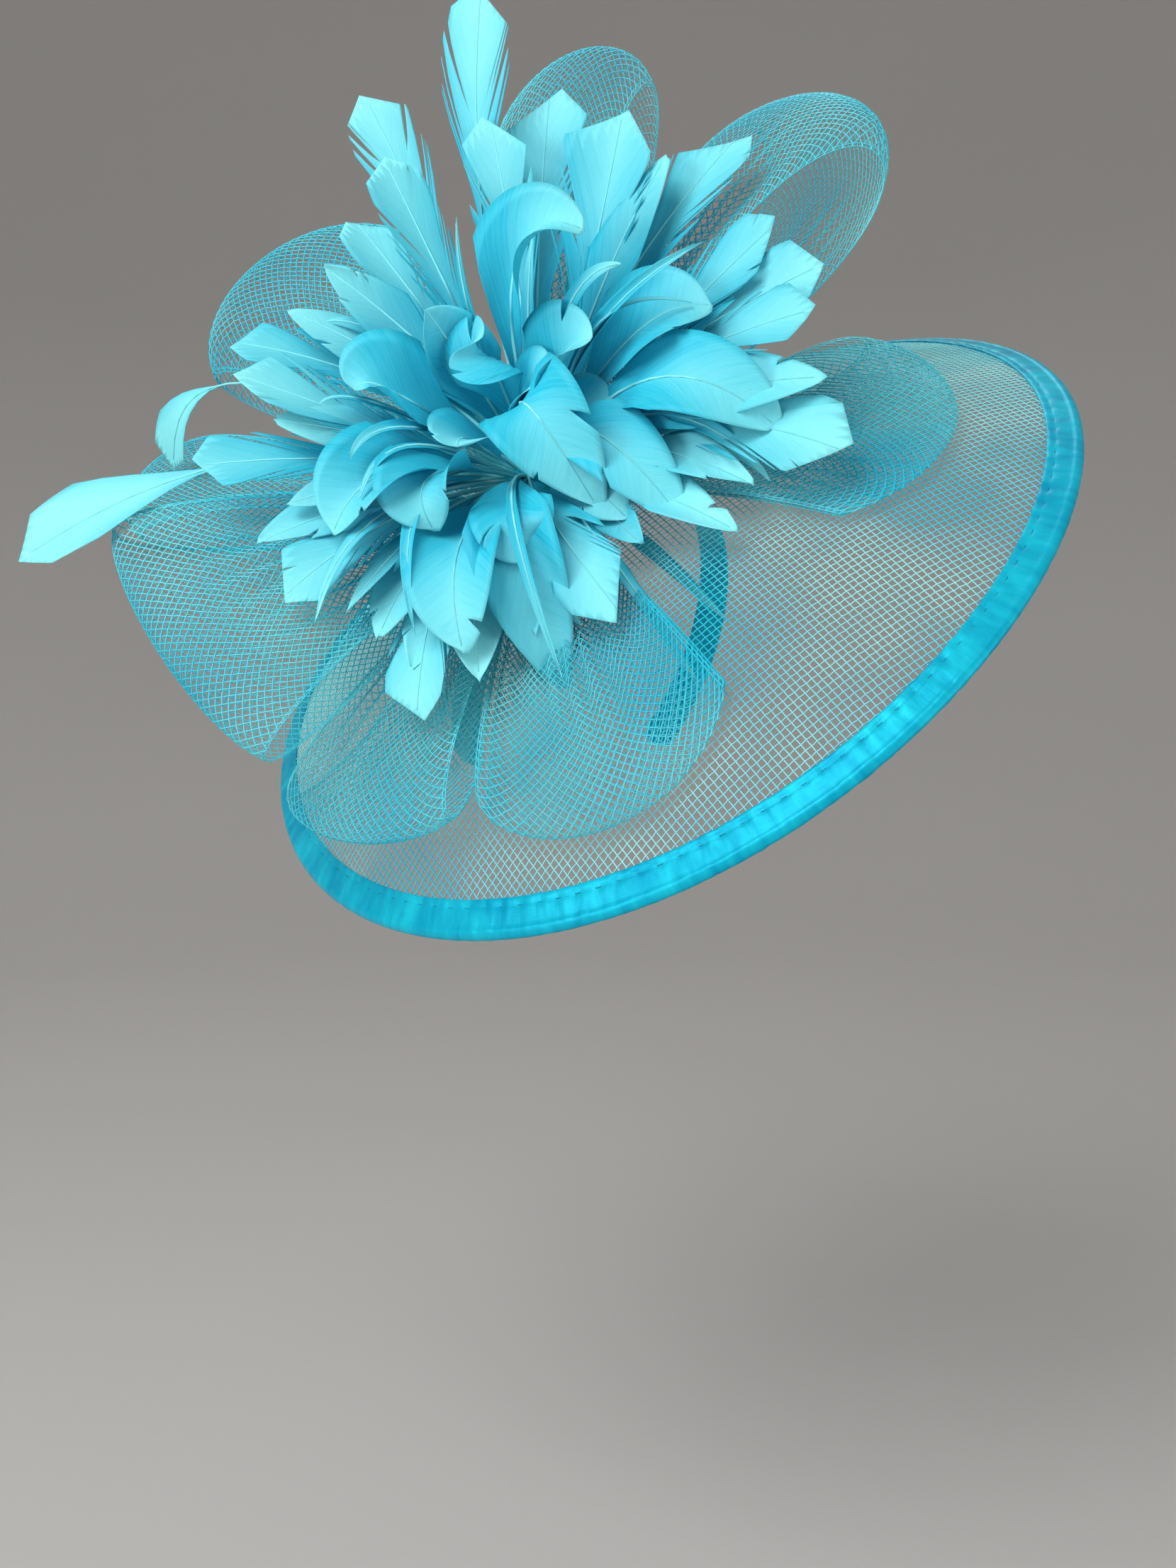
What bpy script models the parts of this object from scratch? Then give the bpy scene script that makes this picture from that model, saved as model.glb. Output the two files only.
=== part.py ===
"""Fascinator hat: a domed net brim with a bound edge on a headband, eight net loops and a feather bloom.

Metres, +Z up. The wearer looks along -Y. The origin is where the headband sits on the crown of the head.
"""
import math

import bmesh
import bpy
from mathutils import Matrix, Vector

# Headband: a half-round of ribbon, its crown leaning towards the forehead
BAND_HALF_WIDTH = 0.072
BAND_HALF_HEIGHT = 0.078
BAND_RIBBON = 0.015
BAND_WALL = 0.003
BAND_ENDS = math.radians(124)
BAND_LEAN = math.radians(22)
BAND_STEPS = 32

# Brim: a shallow net dome, its rim bent up and down twice round, worn tilted to the wearer's right
BRIM_RADIUS = 0.175
BRIM_DOME = 0.052
BRIM_WAVE = 0.0056
BRIM_WAVE_AT = math.radians(-76)
BRIM_TILT = math.radians(40.5)
BRIM_TIP_BACK = math.radians(4)
BRIM_SIDES = 44
NET_WALL = 0.0011

# Binding: folded satin over the rim's wire, gripping the edge of the net
BINDING_WIDTH = 0.0125
BINDING_THICK = 0.0042
BINDING_FOLD = 0.0034
BINDING_GRIP = 0.0035
NET_EDGE_ROOM = 0.0011

# Room left between pieces that touch
SEAM_GAP = 0.0003

# Core: the knot that the loops are sewn round and the feathers are bound in, above the band
CORE_SET_BACK = 0.019
CORE_TO_RIGHT = 0.004
CORE_RADIUS = 0.016
CORE_HEIGHT = 0.025
CORE_SIDES = 20

# Net loops: folded lengths of net ribbon
LOOP_REACH = 0.145
LOOP_WIDTH = 0.105
LOOP_OPENING = 0.045
LOOP_WALL = 0.001
LOOP_PINCH = 0.009
LOOP_PLY_GAP = 0.0045
LOOP_PLEAT = 0.0022
LOOP_STEPS = 18
LOOP_STRIPS = 6

# Feathers
FEATHER_LENGTH = 0.125
FEATHER_WIDTH = 0.026
FEATHER_WALL = 0.0011
FEATHER_FOLD = 0.12
ROOT_SPREAD = 0.45
ROOT_HEIGHT = 0.66
ROOT_STAGGER = 0.07
QUILL_WIDTH = 0.0022

# The show side, which the feathers are arranged for: how far round from the front, and how far up
SHOW_AZIMUTH = math.radians(-50)
SHOW_LIFT = math.radians(6)

# Outline of the band across its ribbon: share of the wall outwards, share of the ribbon to the side
BAND_SECTION = ((0, -0.5), (0.7, -0.5), (1, -0.32), (1, 0.32), (0.7, 0.5), (0, 0.5))

# Outline of the binding's upper half: share of its width in from the rim, share of half its thickness up,
# over the wire at the rim and flat over the fold that is stitched to the net
BINDING_SECTION = ((0.0, 0.38), (0.12, 0.84))

# Outline of the core from its foot to its top: share of its radius, share of its height
CORE_SECTION = ((0.0, 0.0), (0.9, 0.0), (1.0, 0.08), (1.0, 0.72), (0.8, 0.92), (0.45, 1.0), (0.0, 1.0))

# The net loops. Bearing on the brim, slope up from the brim's plane and roll about the loop's length are in
# degrees. Reach, width and opening are shares of the named sizes, round is how far the end is rounded, and
# root is a share of the core's height
LOOPS = (
    # name, bearing, rise, reach, width, opening, roll, round, root
    ("loop_left_high", 5, 37, 1.13, 0.72, 0.50, 0, 0.9, 0.66),
    ("loop_front_left", -30, 18, 1.17, 0.88, 0.85, 0, 0.6, 0.48),
    ("loop_front_low", -67, -13, 0.98, 1.05, 0.40, 12, 0.9, 0.22),
    ("loop_back", 73, 40, 1.00, 0.95, 0.55, 0, 0.8, 0.66),
    ("loop_back_right", 115, 26, 1.04, 0.64, 0.36, 0, 0.6, 0.42),
    ("loop_right", 158, 18, 1.00, 1.16, 0.52, -32, 0.25, 0.52),
    ("loop_right_low", 178, -10, 1.01, 0.80, 0.33, -4, 0.5, 0.22),
    ("loop_front_right", -144, -16, 1.04, 0.92, 0.42, 0, 0.9, 0.22),
)

# The feathers as seen from the show side. Bearing is round the clock from the viewer's right and lean is
# towards the viewer, in degrees. Length and width are shares, arch is how far the quill starts towards the
# brim's upper side and bow is how far it swings out on the way
FEATHERS = (
    # bearing, lean, length, width, arch, bow, kind
    (97, 10, 1.42, 1.05, 0.5, 1, "stemmed"),
    (115, 12, 1.20, 1.00, 0.3, 1, "stemmed"),
    (117, 24, 1.00, 0.80, 0.3, 1, "trimmed"),
    (126, 10, 0.93, 0.80, 0.2, 1, "trimmed"),
    (98, 14, 1.03, 1.00, 0.2, 1, "trimmed"),
    (88, 8, 1.10, 1.25, 0.2, 1, "trimmed"),
    (77, 14, 1.07, 1.40, 0.2, 1, "trimmed"),
    (67, 20, 0.97, 1.00, 0.3, 1, "leaf"),
    (57, 16, 1.12, 1.15, 0.2, 1, "trimmed"),
    (44, 24, 1.00, 0.90, 0.3, 1, "trimmed"),
    (32, 26, 1.03, 1.10, 0.3, 1, "trimmed"),
    (24, 32, 0.98, 1.00, 0.4, 1, "trimmed"),
    (12, 36, 0.98, 1.30, 0.7, 1, "leaf"),
    (-4, 36, 1.04, 1.30, 0.4, 1, "trimmed"),
    (-13, 40, 0.80, 0.80, 0.5, 1, "leaf"),
    (-24, 42, 0.80, 0.90, 0.5, 1, "leaf"),
    (137, 20, 0.86, 0.90, 0.5, 1, "leaf"),
    (148, 16, 0.85, 0.80, 0.7, 1, "leaf"),
    (157, 14, 0.97, 0.85, 0.4, 1, "trimmed"),
    (164, 24, 0.94, 1.00, 0.3, 1, "trimmed"),
    (172, 28, 0.80, 0.90, 0.3, 1, "leaf"),
    (181, 24, 1.02, 0.85, 0.3, 1, "trimmed"),
    (191, 30, 0.78, 0.90, 0.4, 1, "leaf"),
    (199, 28, 0.88, 1.10, 0.3, 1, "leaf"),
    (211, 34, 0.94, 1.05, 0.4, 1, "trimmed"),
    (223, 38, 0.84, 0.45, 0.4, 1, "leaf"),
    (233, 36, 0.80, 1.00, 0.4, 1, "leaf"),
    (242, 36, 0.82, 1.10, 0.5, 1, "leaf"),
    (249, 34, 0.97, 1.00, 0.5, 1, "trimmed"),
    (260, 38, 0.84, 1.20, 0.6, 1, "leaf"),
    (272, 44, 0.70, 0.80, 0.7, 1, "leaf"),
    (283, 46, 0.56, 0.60, 0.8, 1, "leaf"),
    (298, 46, 0.80, 1.10, 0.8, 1, "trimmed"),
    (318, 50, 0.60, 0.80, 0.6, 1, "leaf"),
    (-43, 58, 0.46, 1.40, 2.0, 3.2, "leaf"),
    (80, 62, 0.44, 1.20, 0.8, 1.8, "leaf"),
)

# Each kind of feather: share of its length from the quill's root to the tip, share of its full width there
KINDS = {
    "trimmed": ((0.0, 0.10), (0.30, 0.30), (0.55, 0.75), (0.82, 1.00), (1.0, 0.16)),
    "leaf": ((0.0, 0.10), (0.25, 0.45), (0.50, 0.95), (0.78, 0.72), (1.0, 0.10)),
    "stemmed": ((0.0, 0.10), (0.30, 0.12), (0.58, 0.40), (0.80, 1.00), (1.0, 0.10)),
    "stripped": ((0.0, 0.09), (0.17, 0.09), (0.34, 0.09), (0.50, 0.09), (0.60, 0.45), (0.74, 1.00),
                 (0.90, 0.85), (1.0, 0.12)),
}

# The two long feathers with stripped quills: bearing on the brim and share of the core's height of their
# seat on the core's side, then the same columns as the other feathers
LONG_FEATHERS = (
    # name, seat bearing, seat height, bearing, lean, length, width, arch, bow
    ("long_feather_low", 134, 0.86, 190, 6, 1.44, 1.15, 1.2, 1.1),
    ("long_feather_high", 96, 0.86, 179, -4, 1.02, 0.80, 1.1, 2.3),
)


def clear_scene():
    for item in list(bpy.data.objects):
        bpy.data.objects.remove(item, do_unlink=True)


def material(name, colour, roughness):
    skin = bpy.data.materials.new(name)
    skin.use_nodes = True
    shader = skin.node_tree.nodes["Principled BSDF"]
    shader.inputs["Base Color"].default_value = (*colour, 1)
    shader.inputs["Roughness"].default_value = roughness
    shader.inputs["Metallic"].default_value = 0
    return skin


def finish(name, shape, skin):
    """Turns a bmesh into a named object with its own material."""
    bmesh.ops.recalc_face_normals(shape, faces=shape.faces)
    mesh = bpy.data.meshes.new(name)
    shape.to_mesh(mesh)
    shape.free()
    piece = bpy.data.objects.new(name, mesh)
    bpy.context.scene.collection.objects.link(piece)
    mesh.materials.append(skin)
    mesh.shade_smooth()
    mesh.set_sharp_from_angle(angle=math.radians(40))
    return piece


def ring_points(shape, points):
    return [shape.verts.new(point) for point in points]


def bridge(shape, rings, closed=False):
    """Walls a row of rings: a ring of one point is a pole, and closed joins the last ring to the first."""
    pairs = list(zip(rings, rings[1:]))
    if closed:
        pairs.append((rings[-1], rings[0]))
    for a, b in pairs:
        count = max(len(a), len(b))
        for j in range(count):
            k = (j + 1) % count
            corners = (a[j % len(a)], a[k % len(a)], b[k % len(b)], b[j % len(b)])
            shape.faces.new(list(dict.fromkeys(corners)))


def hat_frame():
    """Turns the brim's own frame, with its dome along Z, to the tilt at which it is worn."""
    return Matrix.Rotation(-BRIM_TILT, 3, "Y") @ Matrix.Rotation(-BRIM_TIP_BACK, 3, "X")


def band_point(angle, outward, along):
    """A point of the band: angle from its crown, metres out from its inner face, metres across its ribbon."""
    centre = Vector((0, 0, -BAND_HALF_HEIGHT))
    inner = Vector((BAND_HALF_WIDTH * math.sin(angle), 0, BAND_HALF_HEIGHT * math.cos(angle)))
    out = Vector((BAND_HALF_HEIGHT * math.sin(angle), 0, BAND_HALF_WIDTH * math.cos(angle))).normalized()
    upright = centre + inner + out * outward + Vector((0, along, 0))
    return Matrix.Rotation(BAND_LEAN, 3, "X") @ upright


def band_ring(step):
    """The band's outline at one of its steps from end to end."""
    angle = BAND_ENDS * (2 * step / BAND_STEPS - 1)
    return [band_point(angle, out * BAND_WALL, side * BAND_RIBBON) for out, side in BAND_SECTION]


def brim_height(x, y):
    """Height of the net's middle above the rim's plane, in the brim's own frame."""
    share = math.hypot(x, y) / BRIM_RADIUS
    bearing = math.atan2(y, x)
    dome = BRIM_DOME * (1 - share ** 2.1)
    return dome + BRIM_WAVE * share ** 3 * math.cos(2 * (bearing - BRIM_WAVE_AT))


def brim_seat():
    """The rim circle's centre in the wearer's frame: the net comes down until it lies on the band."""
    perch = band_point(-BRIM_TILT, BAND_WALL, 0)
    middle = perch - hat_frame() @ Vector((-CORE_TO_RIGHT, CORE_SET_BACK, 0))
    lift = -BRIM_RADIUS
    for step in range(BAND_STEPS + 1):
        for point in band_ring(step):
            local = hat_frame().transposed() @ (point - middle)
            if math.hypot(local.x, local.y) < BRIM_RADIUS:
                lift = max(lift, local.z - brim_height(local.x, local.y))
    return middle + hat_frame() @ Vector((0, 0, lift + NET_WALL / 2 + SEAM_GAP))


def place(point):
    """A point given in the brim's own frame, in the wearer's frame."""
    return SEAT + FRAME @ point


def brim_point(radius, turn, up):
    x = radius * math.cos(turn)
    y = radius * math.sin(turn)
    return place(Vector((x, y, brim_height(x, y) + up)))


def brim_ring(radius, up):
    return [brim_point(radius, 2 * math.pi * i / BRIM_SIDES, up) for i in range(BRIM_SIDES)]


def core_foot():
    """The middle of the core's foot, in the brim's frame, on the net."""
    x = -CORE_TO_RIGHT
    y = CORE_SET_BACK
    return Vector((x, y, brim_height(x, y) + NET_WALL / 2 + SEAM_GAP))


def show_axes():
    """Right, up and towards the viewer, for someone who looks at the hat's show side."""
    right = Vector((math.cos(SHOW_AZIMUTH), math.sin(SHOW_AZIMUTH), 0))
    near = Vector((math.sin(SHOW_AZIMUTH) * math.cos(SHOW_LIFT),
                   -math.cos(SHOW_AZIMUTH) * math.cos(SHOW_LIFT), math.sin(SHOW_LIFT)))
    return right, near.cross(right), near


def make_headband(skin):
    shape = bmesh.new()
    rings = [ring_points(shape, band_ring(step)) for step in range(BAND_STEPS + 1)]
    bridge(shape, rings)
    shape.faces.new(rings[0])
    shape.faces.new(rings[-1])
    return finish("headband", shape, skin)


def make_brim_net(skin):
    """One wall from the middle of its underside out to its edge and back over the top."""
    edge = BRIM_RADIUS - BINDING_WIDTH + BINDING_GRIP - NET_EDGE_ROOM
    shares = (0.16, 0.36, 0.56, 0.74, 0.88, 1.0)
    shape = bmesh.new()
    under = [[place(Vector((0, 0, brim_height(0, 0) - NET_WALL / 2)))]]
    under += [brim_ring(edge * share, -NET_WALL / 2) for share in shares]
    over = [brim_ring(edge * share, NET_WALL / 2) for share in reversed(shares)]
    over += [[place(Vector((0, 0, brim_height(0, 0) + NET_WALL / 2)))]]
    bridge(shape, [ring_points(shape, points) for points in under + over])
    return finish("brim_net", shape, skin)


def binding_outline():
    """Inward distance from the rim and height over the net, from the slot round the upper side and back."""
    slot = NET_WALL / 2 + SEAM_GAP * 1.3
    fold = BINDING_FOLD / 2
    upper = [(BINDING_WIDTH - BINDING_GRIP, slot), (BINDING_WIDTH, slot), (BINDING_WIDTH, fold),
             (BINDING_WIDTH * 0.45, fold * 1.12)]
    upper += [(BINDING_WIDTH * inward, BINDING_THICK / 2 * up) for inward, up in reversed(BINDING_SECTION)]
    lower = [(inward, -up) for inward, up in reversed(upper)]
    return upper + lower


def make_brim_binding(skin):
    shape = bmesh.new()
    rings = [ring_points(shape, brim_ring(BRIM_RADIUS - inward, up)) for inward, up in binding_outline()]
    bridge(shape, rings, closed=True)
    return finish("brim_binding", shape, skin)


def core_radius(high):
    """The core's radius at a share of its height."""
    for (wide_a, high_a), (wide_b, high_b) in zip(CORE_SECTION[1:], CORE_SECTION[2:]):
        if high_a <= high <= high_b and high_b > high_a:
            return CORE_RADIUS * (wide_a + (wide_b - wide_a) * (high - high_a) / (high_b - high_a))
    return CORE_RADIUS


def core_ring(wide, high):
    """One level of the core: its foot follows the dome of the net."""
    foot = core_foot()
    if wide == 0:
        return [place(foot + Vector((0, 0, high * CORE_HEIGHT)))]
    points = []
    for i in range(CORE_SIDES):
        turn = 2 * math.pi * i / CORE_SIDES
        spot = foot + Vector((math.cos(turn), math.sin(turn), 0)) * (CORE_RADIUS * wide)
        fall = brim_height(spot.x, spot.y) - brim_height(foot.x, foot.y)
        spot.z += high * CORE_HEIGHT + fall * (1 - high)
        points.append(place(spot))
    return points


def feather_aim(bearing, lean):
    """The direction from a feather's root to its tip."""
    right, up, near = show_axes()
    b = math.radians(bearing)
    e = math.radians(lean)
    return (right * math.cos(b) + up * math.sin(b)) * math.cos(e) + near * math.sin(e)


def feather_sections(root, bearing, lean, length, width, arch, bow, kind):
    """The quill's path and the vane's side direction, face and width at each share of its length."""
    top = FRAME @ Vector((0, 0, 1))
    near = show_axes()[2]
    aim = feather_aim(bearing, lean)
    launch = (aim + top * arch).normalized() * bow
    full = FEATHER_LENGTH * length
    sections = []
    for share, wide in KINDS[kind]:
        point = root + launch * (full * share * (1 - share)) + aim * (full * share * share)
        heading = (launch * (1 - 2 * share) + aim * (2 * share)).normalized()
        side = heading.cross(top + near).normalized()
        sections.append((point, side, side.cross(heading), FEATHER_WIDTH * width * wide))
    return sections


def add_vane(shape, sections):
    """One closed vane, folded a little along its quill."""
    rings = []
    for point, side, face, wide in sections:
        wide = max(wide, QUILL_WIDTH)
        dip = face * wide * FEATHER_FOLD
        half = face * FEATHER_WALL / 2
        left = point - side * wide / 2 + dip
        far = point + side * wide / 2 + dip
        rings.append(ring_points(shape, (left - half, point - half, far - half,
                                         far + half, point + half, left + half)))
    bridge(shape, rings)
    for ring in (rings[0], rings[-1]):
        shape.faces.new((ring[0], ring[1], ring[4], ring[5]))
        shape.faces.new((ring[1], ring[2], ring[3], ring[4]))


def fuse(piece, vane):
    """Joins a closed vane into a piece, as one body, and clears the vane away."""
    union = piece.modifiers.new("union", "BOOLEAN")
    union.operation = "UNION"
    union.solver = "MANIFOLD"
    union.object = vane
    fused = bpy.data.meshes.new_from_object(piece.evaluated_get(bpy.context.evaluated_depsgraph_get()))
    piece.modifiers.remove(union)
    piece.data = fused
    bpy.data.objects.remove(vane, do_unlink=True)


def fill_pockets(piece):
    """Makes the closed pockets between crossing feathers solid: only the outer skin stays."""
    shape = bmesh.new()
    shape.from_mesh(piece.data)
    waiting = set(shape.faces)
    shells = []
    while waiting:
        front = [waiting.pop()]
        shell = list(front)
        while front:
            face = front.pop()
            near = {other for edge in face.edges for other in edge.link_faces} & waiting
            waiting -= near
            front += near
            shell += near
        shells.append(shell)
    shells.sort(key=len)
    for shell in shells[:-1]:
        bmesh.ops.delete(shape, geom=shell, context="FACES")
    shape.to_mesh(piece.data)
    shape.free()


def make_feather_bloom(skin):
    """The core with every short feather fused into it."""
    shape = bmesh.new()
    bridge(shape, [ring_points(shape, core_ring(wide, high)) for wide, high in CORE_SECTION])
    bloom = finish("feather_bloom", shape, skin)
    for number, row in enumerate(FEATHERS):
        side = FRAME.transposed() @ feather_aim(row[0], row[1])
        spread = Vector((side.x, side.y, 0)) * (CORE_RADIUS * ROOT_SPREAD)
        height = CORE_HEIGHT * (ROOT_HEIGHT + ROOT_STAGGER * (number % 3))
        vane = bmesh.new()
        add_vane(vane, feather_sections(place(core_foot() + spread + Vector((0, 0, height))), *row))
        fuse(bloom, finish("feather_vane", vane, skin))
    fill_pockets(bloom)
    return bloom


def make_long_feather(row, skin):
    name, seat_bearing, seat_height, bearing, lean, length, width, arch, bow = row
    b = math.radians(seat_bearing)
    out = Vector((math.cos(b), math.sin(b), 0)) * (core_radius(seat_height) + SEAM_GAP + QUILL_WIDTH * 0.35)
    root = place(core_foot() + out + Vector((0, 0, CORE_HEIGHT * seat_height)))
    shape = bmesh.new()
    add_vane(shape, feather_sections(root, bearing, lean, length, width, arch, bow, "stripped"))
    return finish(name, shape, skin)


def loop_axes(bearing, rise, roll):
    """A loop's own directions in the brim's frame: outwards, across the ribbon and through its opening."""
    b = math.radians(bearing)
    e = math.radians(rise)
    along = Vector((math.cos(b) * math.cos(e), math.sin(b) * math.cos(e), math.sin(e)))
    level = Vector((-math.sin(b), math.cos(b), 0))
    turn = Matrix.Rotation(math.radians(roll), 3, along)
    return along, turn @ level, turn @ along.cross(level)


def loop_surface(row, s, t):
    """A point of a loop: s runs out along the top ply and back, t across the ribbon.

    Where a loop comes down on the brim, its plies lie over each other, round the fold that joins them.
    """
    name, bearing, rise, reach, width, opening, roll, roundness, root = row
    along, level, up = loop_axes(bearing, rise, roll)
    radial = Vector((along.x, along.y, 0)).normalized()
    clear = abs(radial.dot(up)) * (LOOP_PLY_GAP + LOOP_WALL) / 2 + abs(radial.dot(level)) * LOOP_PINCH / 2
    start = core_foot() + radial * (CORE_RADIUS + SEAM_GAP + clear) + Vector((0, 0, CORE_HEIGHT * root))
    swell = math.sin(math.pi * s)
    full = LOOP_WIDTH * width / 2
    half = LOOP_PINCH / 2 + (full - LOOP_PINCH / 2) * swell
    cap = roundness * full * (1 - math.sqrt(1 - 0.92 * t * t))
    out = (LOOP_REACH * reach - cap) * swell
    high = LOOP_OPENING * opening / 2 * math.sin(2 * math.pi * s) + LOOP_PLY_GAP / 2 * math.cos(math.pi * s)
    pleat = LOOP_PLEAT * 4 * swell * (1 - swell) * math.cos(math.pi * LOOP_STRIPS / 2 * (t + 1))
    point = start + along * out + level * half * t + up * (high + pleat)
    rest = BINDING_THICK / 2 + LOOP_WALL / 2 + SEAM_GAP * 2
    fold = math.copysign(math.sqrt(abs(math.cos(math.pi * s))), 0.5 - s)
    point.z = max(point.z, brim_height(point.x, point.y) + rest + LOOP_PLY_GAP * (1 + fold) / 2)
    return place(point)


def loop_normal(row, s, t):
    step = 0.002
    before = loop_surface(row, max(s - step, 0), t)
    after = loop_surface(row, min(s + step, 1), t)
    left = loop_surface(row, s, max(t - step, -1))
    right = loop_surface(row, s, min(t + step, 1))
    return (after - before).cross(right - left).normalized()


def make_loop(row, skin):
    """A closed wall: each ring goes across the ribbon's outer face and back over its inner face."""
    shape = bmesh.new()
    rings = []
    for i in range(LOOP_STEPS + 1):
        s = i / LOOP_STEPS
        spots = [2 * j / LOOP_STRIPS - 1 for j in range(LOOP_STRIPS + 1)]
        middle = [(loop_surface(row, s, t), loop_normal(row, s, t) * LOOP_WALL / 2) for t in spots]
        ring = [point + normal for point, normal in middle]
        ring += [point - normal for point, normal in reversed(middle)]
        rings.append(ring_points(shape, ring))
    bridge(shape, rings)
    for ring in (rings[0], rings[-1]):
        for j in range(LOOP_STRIPS):
            shape.faces.new((ring[j], ring[j + 1], ring[-2 - j], ring[-1 - j]))
    return finish(row[0], shape, skin)


def main():
    clear_scene()
    make_headband(material("band_satin", (0.01, 0.36, 0.56), 0.35))
    make_brim_net(material("brim_crin", (0.14, 0.68, 0.78), 0.5))
    make_brim_binding(material("edge_satin", (0.01, 0.42, 0.62), 0.3))
    make_feather_bloom(material("bloom_feather", (0.06, 0.55, 0.75), 0.6))
    for row in LONG_FEATHERS:
        make_long_feather(row, material(row[0] + "_vane", (0.20, 0.72, 0.82), 0.6))
    for row in LOOPS:
        make_loop(row, material(row[0] + "_crin", (0.10, 0.62, 0.75), 0.5))


FRAME = hat_frame()
SEAT = brim_seat()
main()
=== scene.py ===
"""The fascinator hat's looks: thread nets, satin binding and band, and trimmed feathers.

Metres, +Z up, as the solids: the wearer looks along -Y and the origin is where the band sits on the head.
"""

import math
import random

import bmesh
import bpy
import numpy as np
from mathutils import Matrix, Vector, noise


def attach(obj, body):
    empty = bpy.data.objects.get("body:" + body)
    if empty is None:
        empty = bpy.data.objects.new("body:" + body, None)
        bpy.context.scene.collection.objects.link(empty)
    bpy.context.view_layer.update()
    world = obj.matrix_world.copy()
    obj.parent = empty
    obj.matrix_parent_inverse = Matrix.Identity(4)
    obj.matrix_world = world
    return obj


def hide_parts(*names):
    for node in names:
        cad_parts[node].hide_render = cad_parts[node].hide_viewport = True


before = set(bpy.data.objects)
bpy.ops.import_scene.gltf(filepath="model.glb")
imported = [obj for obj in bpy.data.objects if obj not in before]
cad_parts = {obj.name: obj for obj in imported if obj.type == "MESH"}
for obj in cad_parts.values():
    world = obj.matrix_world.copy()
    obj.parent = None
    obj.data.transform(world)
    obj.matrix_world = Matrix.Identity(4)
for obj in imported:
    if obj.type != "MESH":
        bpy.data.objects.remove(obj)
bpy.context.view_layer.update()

# Sizes of the hat, as its solids have them
BAND_HALF_WIDTH = 0.072
BAND_HALF_HEIGHT = 0.078
BAND_RIBBON = 0.015
BAND_WALL = 0.003
BAND_ENDS = math.radians(124)
BAND_LEAN = math.radians(22)
BRIM_RADIUS = 0.175
BRIM_DOME = 0.052
BRIM_WAVE = 0.0056
BRIM_WAVE_AT = math.radians(-76)
BRIM_TILT = math.radians(40.5)
BRIM_TIP_BACK = math.radians(4)
NET_WALL = 0.0011
BINDING_WIDTH = 0.0125
BINDING_THICK = 0.0042
BINDING_GRIP = 0.0035
SEAM_GAP = 0.0003
CORE_SET_BACK = 0.019
CORE_TO_RIGHT = 0.004
CORE_RADIUS = 0.016
CORE_HEIGHT = 0.025
LOOP_REACH = 0.145
LOOP_WIDTH = 0.105
LOOP_OPENING = 0.045
LOOP_WALL = 0.001
LOOP_PINCH = 0.009
LOOP_PLY_GAP = 0.0045
FEATHER_LENGTH = 0.125
FEATHER_WIDTH = 0.026
FEATHER_FOLD = 0.12
ROOT_SPREAD = 0.45
ROOT_HEIGHT = 0.66
ROOT_STAGGER = 0.07
QUILL_WIDTH = 0.0022
SHOW_AZIMUTH = math.radians(-50)
SHOW_LIFT = math.radians(6)

# Net: nylon threads on the bias, over and under each other
BRIM_PITCH = 0.00246
LOOP_PITCH = 0.0027
THREAD_RADIUS = 0.00025
THREAD_SIDES = 3
WEAVE_LIFT = 0.00014
BRIM_BIAS = math.radians(12)
SELVEDGE_STEPS = 120

# Gathers of a loop's ribbon towards the core
GATHER_FOLDS = 6
GATHER_DEPTH = 0.0032
GATHER_PEAK = 0.3
GATHER_FADE = (1 - GATHER_PEAK) / GATHER_PEAK

# Binding: a wire's bead at the rim, then the flat fold down to its row of stitches. The satin is pressed a little
# flatter and narrower than its solid.
BINDING_STEPS = 720
SATIN_WIDTH = 0.0114
SATIN_THICK = 0.0033
PUCKER_DEPTH = 0.00028
STITCH_SHARE = 0.77
STITCH_INSET = SATIN_WIDTH * STITCH_SHARE
STITCH_PITCH = 0.0078
STITCH_LENGTH = 0.0032
STITCH_THICK = 0.00042
STITCH_PULL = 0.00055
STITCH_LEVEL = 0.62

# Headband and core
BAND_STEPS = 132
BAND_TAPER = math.radians(5)
CORE_STEPS = 112
CORE_FOLDS = 14
CORE_FOLD_DEPTH = 0.14

# Vanes: rows of barbs up the quill and steps out along a barb, on each side
BARB_ROWS = 40
BARB_STEPS = 5
BARB_SWEEP = 0.5
LOOSE_ROWS = 20
LOOSE_SPLITS = 4
VANE_THICK = 0.00022
QUILL_STATIONS = 14
QUILL_SIDES = 6

# Where the camera stands, seen from the rim's middle: to the right, up and out to the viewer
CAMERA_RIGHT = -0.0282
CAMERA_UP = -0.0729
CAMERA_OUT = 0.7662
CAMERA_LENS = 44.2
CAMERA_SENSOR = 36

# The floor that a bust under the hat would stand on, and the round backdrop it runs up into
FLOOR_DROP = 0.46
FLOOR_RADIUS = 1.4
BACKDROP_BEND = 1.8
BACKDROP_HEIGHT = 2.8

# The net loops, with the solids' own columns
LOOPS = (
    # name, bearing, rise, reach, width, opening, roll, round, root
    ("loop_left_high", 5, 37, 1.13, 0.72, 0.50, 0, 0.9, 0.66),
    ("loop_front_left", -30, 18, 1.17, 0.88, 0.85, 0, 0.6, 0.48),
    ("loop_front_low", -67, -13, 0.98, 1.05, 0.40, 12, 0.9, 0.22),
    ("loop_back", 73, 40, 1.00, 0.95, 0.55, 0, 0.8, 0.66),
    ("loop_back_right", 115, 26, 1.04, 0.64, 0.36, 0, 0.6, 0.42),
    ("loop_right", 158, 18, 1.00, 1.16, 0.52, -32, 0.25, 0.52),
    ("loop_right_low", 178, -10, 1.01, 0.80, 0.33, -4, 0.5, 0.22),
    ("loop_front_right", -144, -16, 1.04, 0.92, 0.42, 0, 0.9, 0.22),
)


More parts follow.
